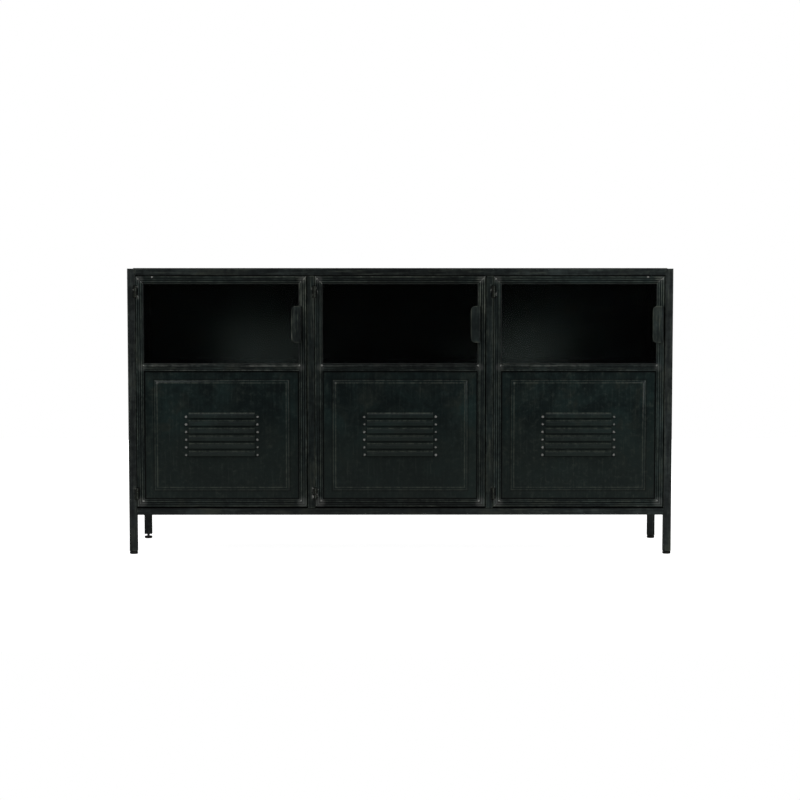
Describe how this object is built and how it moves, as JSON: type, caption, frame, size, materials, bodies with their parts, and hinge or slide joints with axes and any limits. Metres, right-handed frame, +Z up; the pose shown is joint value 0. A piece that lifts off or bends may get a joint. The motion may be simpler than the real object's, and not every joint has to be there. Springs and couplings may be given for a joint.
{
  "type": "sideboard buffet",
  "caption": "Steel locker sideboard on a square tube frame, with hinged doors that have a glass light above a louvred sheet panel, tab handles and levelling feet.",
  "frame": {"origin": "on the floor under the middle of the object's box, handles included", "axes": "+X along the front towards the handle edge of the doors, +Y from the front to the back, +Z up"},
  "size_m": [1.501, 0.418, 0.79],
  "materials": {
    "tube_paint": "thin satin black paint with a blue green cast, rubbed grey along the edges and welds",
    "door_frame_paint": "satin black paint, streaked along the section and rubbed bright at its corners",
    "panel_paint": "mottled satin black paint with a teal cast and rubbed pressings",
    "sheet_paint": "satin black paint with faint mottling",
    "hinge_steel": "turned steel under worn black paint",
    "clear_glass": "clear float glass with a faint green edge",
    "zinc_steel": "dull zinc plated steel",
    "catch_plastic": "matt black moulded case"
  },
  "bodies": {
    "carcass": {"leg_front_left": "tube_paint", "leg_front_right": "tube_paint", "leg_rear_left": "tube_paint", "leg_rear_right": "tube_paint", "top_rail_front": "tube_paint", "top_rail_rear": "tube_paint", "top_rail_left": "tube_paint", "top_rail_right": "tube_paint", "bottom_rail_front": "tube_paint", "bottom_rail_rear": "tube_paint", "bottom_rail_left": "tube_paint", "bottom_rail_right": "tube_paint", "mullion_left": "tube_paint", "mullion_right": "tube_paint", "top_sheet": "sheet_paint", "floor_sheet": "sheet_paint", "back_sheet": "sheet_paint", "side_sheet_left": "sheet_paint", "side_sheet_right": "sheet_paint", "divider_left": "sheet_paint", "divider_right": "sheet_paint", "shelf_left": "sheet_paint", "shelf_centre": "sheet_paint", "shelf_right": "sheet_paint", "shelf_ledges": "sheet_paint", "leg_plugs": "zinc_steel", "magnet_catches": "catch_plastic", "back_rivets": "zinc_steel", "hinge_pins_left": "hinge_steel", "hinge_pins_centre": "hinge_steel", "hinge_pins_right": "hinge_steel"},
    "door_left": {"door_stiles_left": "door_frame_paint", "door_rails_left": "door_frame_paint", "louvre_panel_left": "panel_paint", "glass_left": "clear_glass", "glazing_beads_left": "sheet_paint", "handle_left": "door_frame_paint", "hinge_barrels_left": "hinge_steel", "strike_plate_left": "zinc_steel"},
    "door_centre": {"door_stiles_centre": "door_frame_paint", "door_rails_centre": "door_frame_paint", "louvre_panel_centre": "panel_paint", "glass_centre": "clear_glass", "glazing_beads_centre": "sheet_paint", "handle_centre": "door_frame_paint", "hinge_barrels_centre": "hinge_steel", "strike_plate_centre": "zinc_steel"},
    "door_right": {"door_stiles_right": "door_frame_paint", "door_rails_right": "door_frame_paint", "louvre_panel_right": "panel_paint", "glass_right": "clear_glass", "glazing_beads_right": "sheet_paint", "handle_right": "door_frame_paint", "hinge_barrels_right": "hinge_steel", "strike_plate_right": "zinc_steel"},
    "levelling_foot_front_left": {"foot_front_left": "zinc_steel"},
    "levelling_foot_front_right": {"foot_front_right": "zinc_steel"},
    "levelling_foot_rear_left": {"foot_rear_left": "zinc_steel"},
    "levelling_foot_rear_right": {"foot_rear_right": "zinc_steel"}
  },
  "joints": [
    {"name": "door_left_hinge", "type": "hinge", "parent": "carcass", "child": "door_left", "pos_m": [-0.72725, -0.1925, 0.4465], "axis": [0, 0, -1], "range_deg": [0, 180]},
    {"name": "door_centre_hinge", "type": "hinge", "parent": "carcass", "child": "door_centre", "pos_m": [-0.23525, -0.1925, 0.4465], "axis": [0, 0, -1], "range_deg": [0, 150]},
    {"name": "door_right_hinge", "type": "hinge", "parent": "carcass", "child": "door_right", "pos_m": [0.25675, -0.1925, 0.4465], "axis": [0, 0, -1], "range_deg": [0, 150]},
    {"name": "levelling_foot_front_left_screw", "type": "slide", "parent": "carcass", "child": "levelling_foot_front_left", "axis": [0, 0, -1], "range_m": [0, 0.01]},
    {"name": "levelling_foot_front_right_screw", "type": "slide", "parent": "carcass", "child": "levelling_foot_front_right", "axis": [0, 0, -1], "range_m": [0, 0.01]},
    {"name": "levelling_foot_rear_left_screw", "type": "slide", "parent": "carcass", "child": "levelling_foot_rear_left", "axis": [0, 0, -1], "range_m": [0, 0.01]},
    {"name": "levelling_foot_rear_right_screw", "type": "slide", "parent": "carcass", "child": "levelling_foot_rear_right", "axis": [0, 0, -1], "range_m": [0, 0.01]}
  ]
}
